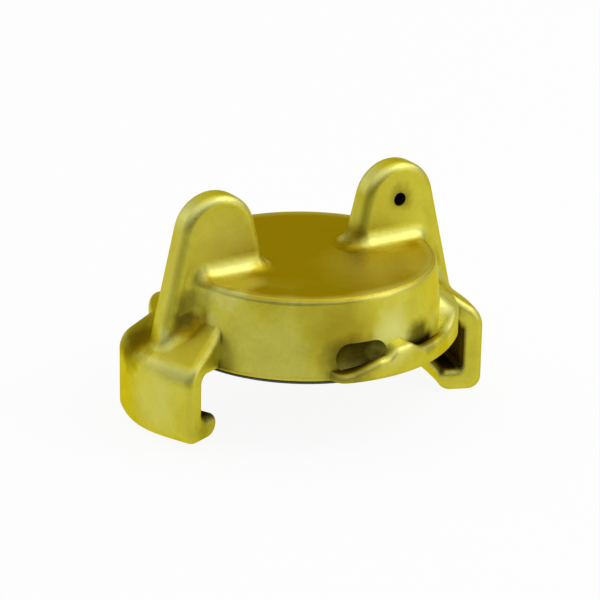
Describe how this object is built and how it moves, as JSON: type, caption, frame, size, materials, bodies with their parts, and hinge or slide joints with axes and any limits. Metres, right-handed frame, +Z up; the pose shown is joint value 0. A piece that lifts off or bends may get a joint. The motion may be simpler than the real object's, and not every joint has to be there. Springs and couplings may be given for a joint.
{
  "type": "hose coupling blanking cap",
  "caption": "Forged brass blanking cap for a claw hose coupling, with hooked claws, ramp flanges, upright grip ears, a chain hole and a rubber sealing ring.",
  "frame": {"origin": "centre of the bounding box at its lowest height, on the cap's axis, level with the undersides of the claw lips", "axes": "+Z up along the axis of the cap, with the ears on top and the sealing face down; +X from the axis through the ear that has the chain hole, along both ears and both claws; +Y across them"},
  "size_m": [0.053, 0.0436, 0.034],
  "materials": {
    "brass": "hot forged and tumbled, satin with polished edges",
    "rubber": "moulded, matt"
  },
  "bodies": {
    "root": {"cap_body": "brass", "sealing_ring": "rubber"}
  },
  "joints": []
}
